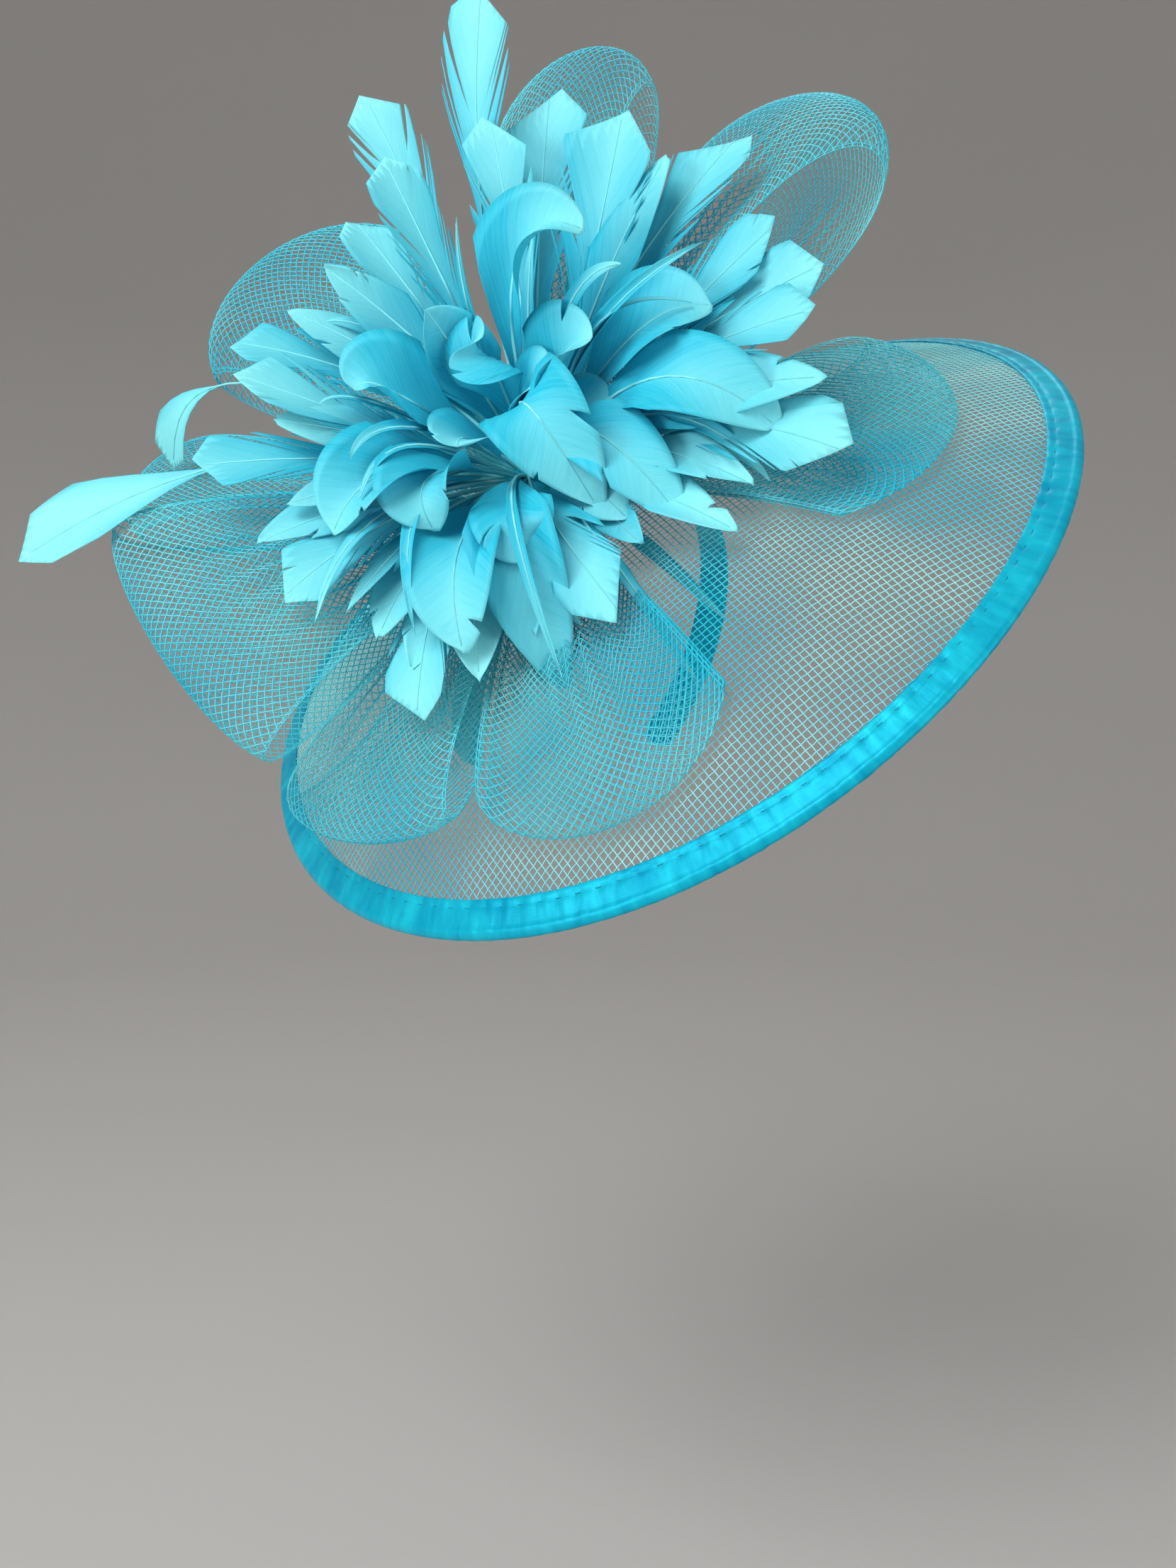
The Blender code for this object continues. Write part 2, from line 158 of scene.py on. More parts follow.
# The feathers as seen from the show side, with the solids' own columns
FEATHERS = (
    # bearing, lean, length, width, arch, bow, kind
    (97, 10, 1.42, 1.05, 0.5, 1, "stemmed"),
    (115, 12, 1.20, 1.00, 0.3, 1, "stemmed"),
    (117, 24, 1.00, 0.80, 0.3, 1, "trimmed"),
    (126, 10, 0.93, 0.80, 0.2, 1, "trimmed"),
    (98, 14, 1.03, 1.00, 0.2, 1, "trimmed"),
    (88, 8, 1.10, 1.25, 0.2, 1, "trimmed"),
    (77, 14, 1.07, 1.40, 0.2, 1, "trimmed"),
    (67, 20, 0.97, 1.00, 0.3, 1, "leaf"),
    (57, 16, 1.12, 1.15, 0.2, 1, "trimmed"),
    (44, 24, 1.00, 0.90, 0.3, 1, "trimmed"),
    (32, 26, 1.03, 1.10, 0.3, 1, "trimmed"),
    (24, 32, 0.98, 1.00, 0.4, 1, "trimmed"),
    (12, 36, 0.98, 1.30, 0.7, 1, "leaf"),
    (-4, 36, 1.04, 1.30, 0.4, 1, "trimmed"),
    (-13, 40, 0.80, 0.80, 0.5, 1, "leaf"),
    (-24, 42, 0.80, 0.90, 0.5, 1, "leaf"),
    (137, 20, 0.86, 0.90, 0.5, 1, "leaf"),
    (148, 16, 0.85, 0.80, 0.7, 1, "leaf"),
    (157, 14, 0.97, 0.85, 0.4, 1, "trimmed"),
    (164, 24, 0.94, 1.00, 0.3, 1, "trimmed"),
    (172, 28, 0.80, 0.90, 0.3, 1, "leaf"),
    (181, 24, 1.02, 0.85, 0.3, 1, "trimmed"),
    (191, 30, 0.78, 0.90, 0.4, 1, "leaf"),
    (199, 28, 0.88, 1.10, 0.3, 1, "leaf"),
    (211, 34, 0.94, 1.05, 0.4, 1, "trimmed"),
    (223, 38, 0.84, 0.45, 0.4, 1, "leaf"),
    (233, 36, 0.80, 1.00, 0.4, 1, "leaf"),
    (242, 36, 0.82, 1.10, 0.5, 1, "leaf"),
    (249, 34, 0.97, 1.00, 0.5, 1, "trimmed"),
    (260, 38, 0.84, 1.20, 0.6, 1, "leaf"),
    (272, 44, 0.70, 0.80, 0.7, 1, "petal"),
    (283, 46, 0.56, 0.60, 0.8, 1, "petal"),
    (298, 46, 0.80, 1.10, 0.8, 1, "trimmed"),
    (318, 50, 0.60, 0.80, 0.6, 1, "petal"),
    (-43, 58, 0.46, 1.40, 2.0, 3.2, "petal"),
    (80, 62, 0.44, 1.20, 0.8, 1.8, "petal"),
)

# Each kind of feather: bare share of its quill, where its vane is widest, how slowly it widens up to there,
# how long it grew before its tip was trimmed, the most splits on a side and the most twist
KINDS = {
    "trimmed": (0.10, 0.82, 1.20, 1.20, 2, 14),
    "leaf": (0.05, 0.56, 0.90, 1.0, 2, 16),
    "petal": (0.02, 0.60, 0.62, 1.0, 1, 12),
    "sliver": (0.02, 0.45, 0.60, 1.0, 0, 30),
    "stemmed": (0.42, 0.80, 1.00, 1.18, 1, 4),
    "stripped": (0.56, 0.84, 0.50, 1.12, 0, 0),
}

# How pale each kind is, from the deep dye of the middle to the faded tips
TONES = {"trimmed": 0.75, "leaf": 0.60, "petal": 0.35, "sliver": 0.5, "stemmed": 1.1, "stripped": 1.7}

# The least and the most slant of a trimming cut, measured from the quill
TRIM_SLANTS = (42, 62)

# The two long feathers: bearing on the brim and share of the core's height of their seat, then as above
LONG_FEATHERS = (
    # name, seat bearing, seat height, bearing, lean, length, width, arch, bow
    ("long_feather_low", 134, 0.86, 190, 6, 1.44, 1.15, 1.2, 1.1),
    ("long_feather_high", 96, 0.86, 179, -4, 1.02, 0.80, 1.1, 2.3),
)

# Silky petals and slivers between the feathers, too fine for the solids: how many, then the least and the most
# of their lean, length, width and bow
PETALS = (
    # kind, count, first bearing, lean, length, width, bow
    ("petal", 9, 4, (30, 44), (0.62, 0.84), (1.05, 1.50), (1.5, 2.3)),
    ("petal", 7, 20, (50, 64), (0.40, 0.56), (0.90, 1.30), (1.6, 2.6)),
    ("sliver", 20, 0, (12, 46), (0.66, 0.98), (0.12, 0.30), (1.0, 2.0)),
)


def linear(red, green, blue):
    """A colour as an eye reads it, 0 to 255, in the renderer's linear values."""
    return tuple(((part / 255 + 0.055) / 1.055) ** 2.4 for part in (red, green, blue)) + (1.0,)


PALE_AQUA = linear(160, 240, 243)
AQUA = linear(104, 224, 234)
TURQUOISE = linear(30, 204, 230)
DEEP_TURQUOISE = linear(0, 186, 218)
EDGE_DYE = linear(24, 190, 214)
# Deep satin colour: its uneven dye with painted shade in its wrinkles; also the stitches' paler colour
DEEP_EDGE_DYE_AND_PAINTED_SHADE = linear(0, 150, 186)
# The stitches' deep colour, darker than the satin: painted shade of the dimples that the stitches pull in
STITCH_PAINTED_SHADE = linear(0, 112, 146)
FADED_AQUA = linear(130, 231, 238)
SHEEN = linear(90, 226, 240)


class Link:
    """One output of a material's node, with the sums that the finishes use."""

    def __init__(self, finish, socket):
        self.finish = finish
        self.socket = socket

    def sum(self, operation, first, second):
        return self.finish.add("ShaderNodeMath", {"operation": operation}, {0: first, 1: second})

    def __add__(self, other):
        return self.sum("ADD", self, other)

    def __radd__(self, other):
        return self.sum("ADD", other, self)

    def __sub__(self, other):
        return self.sum("SUBTRACT", self, other)

    def __rsub__(self, other):
        return self.sum("SUBTRACT", other, self)

    def __mul__(self, other):
        return self.sum("MULTIPLY", self, other)

    def __rmul__(self, other):
        return self.sum("MULTIPLY", other, self)

    def __truediv__(self, other):
        return self.sum("DIVIDE", self, other)

    def __pow__(self, other):
        return self.sum("POWER", self, other)


class Finish:
    """A material in the making, around its Principled shader."""

    def __init__(self, name, **constants):
        self.material = bpy.data.materials.new(name)
        self.material.use_nodes = True
        self.tree = self.material.node_tree
        self.shader = self.tree.nodes["Principled BSDF"]
        for socket, value in constants.items():
            self.shader.inputs[socket.replace("_", " ")].default_value = value

    def add(self, kind, settings=None, inputs=None, output=0):
        """Places a node: its settings, then the values or links of its sockets. Returns one of its outputs."""
        node = self.tree.nodes.new(kind)
        for name, value in (settings or {}).items():
            if name == "stops":
                for stop, (position, colour) in zip(node.color_ramp.elements, value):
                    stop.position = position
                    stop.color = colour
            else:
                setattr(node, name, value)
        for name, value in (inputs or {}).items():
            self.feed(node.inputs[name], value)
        return Link(self, node.outputs[output])

    def feed(self, socket, value):
        if isinstance(value, Link):
            self.tree.links.new(value.socket, socket)
        else:
            socket.default_value = value

    def set(self, **inputs):
        for name, value in inputs.items():
            self.feed(self.shader.inputs[name.replace("_", " ")], value)

    def object_place(self):
        return self.add("ShaderNodeTexCoord", output="Object")

    def uv_place(self, name):
        return self.add("ShaderNodeUVMap", {"uv_map": name})

    def mapped(self, place, scale):
        return self.add("ShaderNodeMapping", inputs={"Vector": place, "Scale": scale})

    def noise(self, place, scale, detail=2.0):
        return self.add("ShaderNodeTexNoise", inputs={"Vector": place, "Scale": scale, "Detail": detail})

    def mix(self, share, first, second):
        """From the first colour to the second."""
        return self.add("ShaderNodeMix", {"data_type": "RGBA"}, {0: share, 6: first, 7: second}, output=2)

    def spread(self, value, low, high):
        """A value's stretch from low to high, drawn out to 0 to 1."""
        return self.add("ShaderNodeMapRange", inputs={"Value": value, "From Min": low, "From Max": high})

    def bump(self, height, strength, distance):
        return self.add("ShaderNodeBump", inputs={"Height": height, "Strength": strength, "Distance": distance})


def crin_finish(name, pale, deep):
    """Nylon thread, a little uneven in its dye."""
    finish = Finish(name, Roughness=0.34, Specular_IOR_Level=0.5)
    drift = finish.noise(finish.object_place(), 16.0)
    finish.set(Base_Color=finish.mix(finish.spread(drift, 0.35, 0.65), deep, pale))
    return finish.material


def satin_finish(name, pale, deep, map_name):
    """Satin: highlights in its own colour, fine threads along the ribbon, soft wrinkles across it with painted
    shade and highlight.
    """
    finish = Finish(name, Metallic=0.12, Specular_Tint=SHEEN)
    place = finish.uv_place(map_name)
    warp = finish.noise(finish.mapped(place, (160.0, 2600.0, 1.0)), 1.0, 1.0)
    wrinkle = finish.noise(finish.mapped(place, (230.0, 70.0, 1.0)), 1.0, 2.0)
    cloud = finish.noise(finish.mapped(place, (50.0, 50.0, 1.0)), 1.0, 2.0)
    # Colour from the wrinkles and an uneven dye: painted shade in the wrinkles' hollows, painted highlight on
    # their crests
    tone = finish.spread(wrinkle * 0.5 + cloud * 0.5, 0.36, 0.64)
    finish.set(
        Base_Color=finish.mix(tone, deep, pale),
        Roughness=0.3 + warp * 0.14,
        Normal=finish.bump(wrinkle * 0.85 + warp * 0.15, 0.45, 0.0006),
    )
    return finish.material


def vane_finish(name, pale, deep):
    """A feather's vane: deeper dye at the root, barb lines from the quill, a soft surface."""
    finish = Finish(name, Sheen_Weight=0.15, Sheen_Roughness=0.5, Sheen_Tint=SHEEN, Specular_IOR_Level=0.3)
    place = finish.uv_place("barbs")
    along = finish.add("ShaderNodeSeparateXYZ", inputs={"Vector": place}, output="Y")
    tone = finish.add("ShaderNodeAttribute", {"attribute_name": "tone"}, output="Fac")
    barbs = finish.noise(finish.mapped(place, (1.6, 190.0, 1.0)), 1.0, 3.0) * 0.55
    barbs = barbs + finish.noise(finish.mapped(place, (0.9, 46.0, 1.0)), 1.0, 2.0) * 0.45
    cloud = finish.noise(finish.object_place(), 45.0, 2.0)
    reach = finish.spread(along + tone * 0.7 + cloud * 0.25, 0.85, 1.55)
    shade = finish.spread(barbs, 0.36, 0.64)
    base = finish.mix(reach, deep, pale)
    finish.set(
        Base_Color=finish.mix(shade * 0.4, base, finish.mix(reach, AQUA, PALE_AQUA)),
        Roughness=0.42 + shade * 0.22,
        Normal=finish.bump(barbs, 0.4, 0.0004),
    )
    return finish.material


def quill_finish(name, pale, deep):
    finish = Finish(name, Roughness=0.38)
    drift = finish.noise(finish.object_place(), 60.0)
    finish.set(Base_Color=finish.mix(drift, deep, pale))
    return finish.material


def hat_frame():
    """Turns the brim's own frame, with its dome along Z, to the tilt at which it is worn."""
    return Matrix.Rotation(-BRIM_TILT, 3, "Y") @ Matrix.Rotation(-BRIM_TIP_BACK, 3, "X")


def brim_seat():
    """The rim circle's centre: the net's solid spreads evenly round it, and its top is the dome over it."""
    local = np.array([FRAME.transposed() @ v.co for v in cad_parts["brim_net"].data.vertices])
    middle = (local.min(0) + local.max(0)) / 2
    return FRAME @ Vector((middle[0], middle[1], local[:, 2].max() - BRIM_DOME - NET_WALL / 2))


FRAME = hat_frame()
SEAT = brim_seat()
FRAME_ROWS = np.array(FRAME)
SEAT_ROW = np.array(SEAT)


def brim_height(x, y):
    """Height of the net's middle above the rim's plane, in the brim's own frame."""
    share = np.hypot(x, y) / BRIM_RADIUS
    dome = BRIM_DOME * (1 - share ** 2.1)
    return dome + BRIM_WAVE * share ** 3 * np.cos(2 * (np.arctan2(y, x) - BRIM_WAVE_AT))


def place(points):
    """Points given in the brim's own frame, one a row, in the wearer's frame."""
    return SEAT_ROW + points @ FRAME_ROWS.T


def core_foot():
    """The middle of the core's foot, in the brim's frame, on the net."""
    x = -CORE_TO_RIGHT
    y = CORE_SET_BACK
    return np.array((x, y, brim_height(x, y) + NET_WALL / 2 + SEAM_GAP))


def show_axes():
    """Right, up and towards the viewer, for someone who looks at the hat's show side."""
    right = Vector((math.cos(SHOW_AZIMUTH), math.sin(SHOW_AZIMUTH), 0))
    near = Vector((math.sin(SHOW_AZIMUTH) * math.cos(SHOW_LIFT),
                   -math.cos(SHOW_AZIMUTH) * math.cos(SHOW_LIFT), math.sin(SHOW_LIFT)))
    return right, near.cross(right), near


def loop_points(row, s, t):
    """Points of a loop in the brim's frame: s runs out along the top ply and back, t across the ribbon."""
    name, bearing, rise, reach, width, opening, roll, roundness, root = row
    b = math.radians(bearing)
    e = math.radians(rise)
    along = Vector((math.cos(b) * math.cos(e), math.sin(b) * math.cos(e), math.sin(e)))
    flat = Vector((-math.sin(b), math.cos(b), 0))
    turn = Matrix.Rotation(math.radians(roll), 3, along)
    level = turn @ flat
    up = turn @ along.cross(flat)
    radial = Vector((along.x, along.y, 0)).normalized()
    clear = abs(radial.dot(up)) * (LOOP_PLY_GAP + LOOP_WALL) / 2 + abs(radial.dot(level)) * LOOP_PINCH / 2
    start = core_foot() + np.array(radial) * (CORE_RADIUS + SEAM_GAP + clear) + (0, 0, CORE_HEIGHT * root)
    swell = np.sin(math.pi * s)
    full = LOOP_WIDTH * width / 2
    half = LOOP_PINCH / 2 + (full - LOOP_PINCH / 2) * swell
    cap = roundness * full * (1 - np.sqrt(1 - 0.92 * t * t))
    out = (LOOP_REACH * reach - cap) * swell
    high = LOOP_OPENING * opening / 2 * np.sin(2 * math.pi * s) + LOOP_PLY_GAP / 2 * np.cos(math.pi * s)
    folds = np.cos(math.pi * GATHER_FOLDS * (t + 0.16 * np.sin(3 * t + bearing)))
    folds *= 0.65 + 0.35 * np.sin(5 * t + 2 * bearing)
    gather = GATHER_DEPTH * folds * swell / GATHER_PEAK * ((1 - swell) / (1 - GATHER_PEAK)) ** GATHER_FADE
    points = (start + np.outer(out, along) + np.outer(half * t, level) + np.outer(high + gather, up))
    rest = BINDING_THICK / 2 + LOOP_WALL / 2 + SEAM_GAP * 2
    fold = np.copysign(np.sqrt(np.abs(np.cos(math.pi * s))), 0.5 - s)
    floor = brim_height(points[:, 0], points[:, 1]) + rest + LOOP_PLY_GAP * (1 + fold) / 2
    points[:, 2] = np.maximum(points[:, 2], floor)
    return points


def loop_faces(row, s, t):
    """The direction that a loop's ribbon faces at each place."""
    step = 0.004
    ahead = loop_points(row, np.minimum(s + step, 1), t) - loop_points(row, np.maximum(s - step, 0), t)
    across = loop_points(row, s, np.minimum(t + step, 1)) - loop_points(row, s, np.maximum(t - step, -1))
    normal = np.cross(ahead, across)
    return normal / np.maximum(np.linalg.norm(normal, axis=1), 1e-12)[:, None]


def thread_group(name, radius):
    """Geometry nodes that turn the edges of a mesh into closed round threads."""
    group = bpy.data.node_groups.new(name, "GeometryNodeTree")
    group.interface.new_socket("Geometry", in_out="INPUT", socket_type="NodeSocketGeometry")
    group.interface.new_socket("Geometry", in_out="OUTPUT", socket_type="NodeSocketGeometry")
    start = group.nodes.new("NodeGroupInput")
    lines = group.nodes.new("GeometryNodeMeshToCurve")
    ring = group.nodes.new("GeometryNodeCurvePrimitiveCircle")
    ring.inputs["Resolution"].default_value = THREAD_SIDES
    ring.inputs["Radius"].default_value = radius
    tube = group.nodes.new("GeometryNodeCurveToMesh")
    tube.inputs["Fill Caps"].default_value = True
    end = group.nodes.new("NodeGroupOutput")
    group.links.new(start.outputs[0], lines.inputs["Mesh"])
    group.links.new(lines.outputs["Curve"], tube.inputs["Curve"])
    group.links.new(ring.outputs["Curve"], tube.inputs["Profile Curve"])
    group.links.new(tube.outputs["Mesh"], end.inputs[0])
    return group


def cut(shape, point, normal):
    """Cuts away what lies past a plane."""
    bmesh.ops.bisect_plane(shape, geom=shape.verts[:] + shape.edges[:] + shape.faces[:],
                           plane_co=point, plane_no=normal, clear_outer=True)


def bias_net(reach, pitch, bias):
    """Two families of flat parallel threads that cross on the bias, over and under by turns."""
    net = bmesh.new()
    count = 2 * math.ceil(reach / pitch / 2)
    for family in (0, 1):
        made = bmesh.ops.create_grid(net, x_segments=count, y_segments=count, size=count * pitch / 2)["verts"]
        edges = {edge for vert in made for edge in vert.link_edges}
        crossing = [edge for edge in edges
                    if abs(edge.verts[0].co[family] - edge.verts[1].co[family]) < pitch / 2]
        bmesh.ops.delete(net, geom=crossing, context="EDGES")
        for vert in made:
            if vert.is_valid:
                over = round(vert.co.x / pitch) + round(vert.co.y / pitch) + family
                vert.co.z = WEAVE_LIFT if over % 2 else -WEAVE_LIFT
    bmesh.ops.rotate(net, verts=net.verts, matrix=Matrix.Rotation(math.radians(45) + bias, 3, "Z"))
    return net


def line(shape, start, end, steps):
    """A straight thread, a step at a time."""
    tip = bmesh.ops.create_vert(shape, co=start)["vert"][0]
    for step in range(steps):
        tip = bmesh.ops.extrude_vert_indiv(shape, verts=[tip])["verts"][0]
        tip.co = Vector(start).lerp(Vector(end), (step + 1) / steps)


def coordinates(shape):
    return np.array([vert.co for vert in shape.verts])


def move_to(shape, points):
    for vert, point in zip(shape.verts, points):
        vert.co = point


def finished(name, shape, material, smooth=True):
    mesh = bpy.data.meshes.new(name)
    shape.to_mesh(mesh)
    shape.free()
    piece = bpy.data.objects.new(name, mesh)
    bpy.context.scene.collection.objects.link(piece)
    mesh.materials.append(material)
    if smooth:
        mesh.shade_smooth()
    return piece


def settle(piece, material):
    """Applies a piece's modifiers, so that its mesh is what shows."""
    shown = piece.evaluated_get(bpy.context.evaluated_depsgraph_get())
    made = bpy.data.meshes.new_from_object(shown)
    piece.modifiers.clear()
    old = piece.data
    piece.data = made
    made.name = piece.name
    bpy.data.meshes.remove(old)
    made.materials.clear()
    made.materials.append(material)
    made.shade_smooth()
    return piece


def threaded(name, shape, material):
    piece = finished(name, shape, material)
    piece.modifiers.new("threads", "NODES").node_group = THREADS
    return settle(piece, material)


def dress(piece, slot, *nodes):
    """The piece rides on the hat and stands for its nodes, which it hides. Its slot is not used."""
    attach(piece, "root")
    if nodes:
        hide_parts(*nodes)
    return piece


def net_cover(width, length, pitch, share=1.0):
    """What a net's flat cut comes to as a sheet: half the surface of the threads in it."""
    around = 2 * THREAD_SIDES * THREAD_RADIUS * math.sin(math.pi / THREAD_SIDES)
    return width * length * share * around / pitch


def make_brim_net(material):
    """The brim's round of net, returned with its flat cut and the cover of its threads."""
    edge = BRIM_RADIUS - SATIN_WIDTH + BINDING_GRIP * 0.7
    net = bias_net(2 * edge, BRIM_PITCH, BRIM_BIAS)
    sides = 48
    for i in range(sides):
        out = Vector((math.cos(2 * math.pi * i / sides), math.sin(2 * math.pi * i / sides), 0))
        cut(net, out * edge, out)
    flat = coordinates(net)
    flat[:, 2] += brim_height(flat[:, 0], flat[:, 1])
    move_to(net, place(flat))
    piece = dress(threaded("brim_net_threads", net, material), "brim_crin", "brim_net")
    return piece, (2 * edge, 2 * edge), net_cover(2 * edge, 2 * edge, BRIM_PITCH, math.pi / 4)


def spun(outline, steps):
    """A closed ring spun round Z from a closed outline of distances out and up."""
    shape = bmesh.new()
    verts = [shape.verts.new((out, 0, up)) for out, up in outline]
    edges = [shape.edges.new(pair) for pair in zip(verts, verts[1:] + verts[:1])]
    bmesh.ops.spin(shape, geom=verts + edges, axis=(0, 0, 1), angle=2 * math.pi, steps=steps, use_merge=True)
    bmesh.ops.recalc_face_normals(shape, faces=shape.faces)
    return shape


def lay_weave(shape, turn_length, across):
    """A map in metres along a ribbon and across it, from each corner's turn and its place on the outline."""
    weave = shape.loops.layers.uv.new("weave")
    for face in shape.faces:
        turns = [math.atan2(loop.vert.co.y, loop.vert.co.x) for loop in face.loops]
        wraps = max(turns) - min(turns) > math.pi
        for loop, turn in zip(face.loops, turns):
            if wraps and turn < 0:
                turn += 2 * math.pi
            loop[weave].uv = (turn * turn_length, across(loop.vert.co))


def stitch_count():
    return round(2 * math.pi * (BRIM_RADIUS - STITCH_INSET) / STITCH_PITCH)


def pucker(turn, inward):
    """How far the satin stands off its fold: short crosswise puckers that the stitches pull in."""
    spot = Vector((math.cos(turn) * 40, math.sin(turn) * 40, inward * 110))
    stitched = math.exp(-((inward - STITCH_INSET) / 0.0017) ** 2)
    pulled = (0.5 + 0.5 * math.cos(turn * stitch_count())) ** 2
    return PUCKER_DEPTH * (noise.noise(spot) + 0.5 * noise.noise(spot * 2.3)) - STITCH_PULL * stitched * pulled


def binding_outline():
    """Distance in from the rim and height over the net, from the wire's bead round to the underside."""
    bead = SATIN_THICK / 2
    upper = [(bead * (1 - math.cos(math.pi * i / 10)), bead * math.sin(math.pi * i / 10)) for i in range(1, 8)]
    upper += [(share * SATIN_WIDTH, high * bead) for share, high in
              ((0.31, 0.80), (0.42, 0.78), (0.54, 0.80), (0.64, 0.80), (0.71, 0.76), (STITCH_SHARE, STITCH_LEVEL), (0.84, 0.76),
               (0.94, 0.70), (0.985, 0.55), (1.0, 0.30))]
    return [(0.0, 0.0)] + upper + [(inward, -up) for inward, up in reversed(upper)]


def make_binding(material):
    shape = spun([(BRIM_RADIUS - inward, up) for inward, up in binding_outline()], BINDING_STEPS)
    lay_weave(shape, BRIM_RADIUS, lambda spot: (BRIM_RADIUS - math.hypot(spot.x, spot.y))
              * (1 if spot.z > 0 else -1))
    points = coordinates(shape)
    for point in points:
        turn = math.atan2(point[1], point[0])
        inward = BRIM_RADIUS - math.hypot(point[0], point[1])
        off = pucker(turn, inward) * (1 if point[2] > 0 else -1)
        flat = min(1, abs(point[2]) / (SATIN_THICK * 0.25))
        point[2] += brim_height(point[0], point[1]) + off * flat
    move_to(shape, place(points))
    return dress(finished("brim_binding_satin", shape, material), "edge_satin", "brim_binding")


def make_stitches(material):
    """A running stitch along the binding's inner edge, on its upper side and its underside."""
    shape = bmesh.new()
    radius = BRIM_RADIUS - STITCH_INSET
    for side in (-1, 1):
        for number in range(stitch_count()):
            turn = 2 * math.pi * number / stitch_count()
            spot = Vector((radius * math.cos(turn), radius * math.sin(turn), 0))
            spot.z = brim_height(spot.x, spot.y) + side * (SATIN_THICK / 2 * STITCH_LEVEL - STITCH_PULL * 0.7)
            made = bmesh.ops.create_icosphere(shape, subdivisions=1, radius=0.5)["verts"]
            bmesh.ops.scale(shape, vec=(STITCH_THICK, STITCH_LENGTH, STITCH_THICK), verts=made)
            bmesh.ops.rotate(shape, verts=made, matrix=Matrix.Rotation(turn, 3, "Z"))
            bmesh.ops.translate(shape, verts=made, vec=spot)
    move_to(shape, place(coordinates(shape)))
    return dress(finished("brim_binding_stitches", shape, material), "edge_satin", "brim_binding")


def band_point(angle, outward, along):
    """A point of the band: angle from its crown, metres out from its inner face, metres across its ribbon."""
    centre = Vector((0, 0, -BAND_HALF_HEIGHT))
    inner = Vector((BAND_HALF_WIDTH * math.sin(angle), 0, BAND_HALF_HEIGHT * math.cos(angle)))
    out = Vector((BAND_HALF_HEIGHT * math.sin(angle), 0, BAND_HALF_WIDTH * math.cos(angle))).normalized()
    return Matrix.Rotation(BAND_LEAN, 3, "X") @ (centre + inner + out * outward + Vector((0, along, 0)))


def band_outline():
    """The band's outline: a flat inner face and a crowned outer one, as shares of the wall and the ribbon."""
    crowned = [(0.62 + 0.38 * math.sin(math.pi * i / 14), -0.5 * math.cos(math.pi * i / 14)) for i in range(15)]
    return [(0.12, -0.49), *crowned, (0.12, 0.49), (0.0, 0.44), (0.0, 0.15), (0.0, -0.15), (0.0, -0.44)]


def make_band(material):
    """Satin pulled round a springy band, its ends rounded and its gathers running across."""
    shape = bmesh.new()
    radius = 1.0
    verts = [shape.verts.new((radius + out * BAND_WALL, side * BAND_RIBBON, 0)) for out, side in band_outline()]
    face = shape.faces.new(verts)
    bmesh.ops.spin(shape, geom=[face], axis=(0, 1, 0), angle=2 * BAND_ENDS, steps=BAND_STEPS)
    bmesh.ops.recalc_face_normals(shape, faces=shape.faces)
    weave = shape.loops.layers.uv.new("weave")
    spots = {}
    for vert in shape.verts:
        turn = math.atan2(-vert.co.z, vert.co.x) % (2 * math.pi)
        outward = math.hypot(vert.co.x, vert.co.z) - radius
        spots[vert] = (turn, outward, vert.co.y)
    for face in shape.faces:
        for loop in face.loops:
            turn, outward, along = spots[loop.vert]
            loop[weave].uv = (turn * BAND_HALF_HEIGHT, along + (0.03 if outward > BAND_WALL * 0.3 else 0))
    for vert, (turn, outward, along) in spots.items():
        left = min(turn, 2 * BAND_ENDS - turn)
        ends = math.sqrt(max(0.0, 1 - (1 - min(1, left / BAND_TAPER)) ** 2))
        gather = noise.noise(Vector((turn * 40, along * 220, outward * 600))) * 0.00012
        wide = 0.55 + 0.45 * ends
        vert.co = band_point(turn - BAND_ENDS, outward * (0.5 + 0.5 * ends) + (gather if outward > 0.0005 else 0),
                             along * wide)
    return dress(finished("headband_satin", shape, material), "band_satin", "headband")


def make_core(material):
    """The knot under the feathers: gathered net and thread, domed on top, its foot on the net."""
    outline = [(0.02, 0.0), (0.9, 0.0), (0.97, 0.03), (1.0, 0.10), (1.0, 0.40), (0.98, 0.60), (0.93, 0.74),
               (0.84, 0.86), (0.68, 0.94), (0.45, 0.99), (0.2, 1.0), (0.02, 1.0)]
    shape = spun([(out * CORE_RADIUS, up * CORE_HEIGHT) for out, up in outline], CORE_STEPS)
    lay_weave(shape, CORE_RADIUS, lambda spot: spot.z)
    foot = core_foot()
    points = coordinates(shape)
    for point in points:
        turn = math.atan2(point[1], point[0])
        high = point[2] / CORE_HEIGHT
        crease = 0.5 + 0.5 * math.cos(turn * CORE_FOLDS + 0.8 * math.sin(turn * 3) + 1.5 * high)
        point[:2] *= 1 - CORE_FOLD_DEPTH * crease * math.sin(math.pi * min(1, max(0, high)))
        point += foot
        point[2] += (brim_height(point[0], point[1]) - brim_height(foot[0], foot[1])) * (1 - high)
    move_to(shape, place(points))
    return dress(finished("bloom_core", shape, material), "bloom_feather", "feather_bloom")


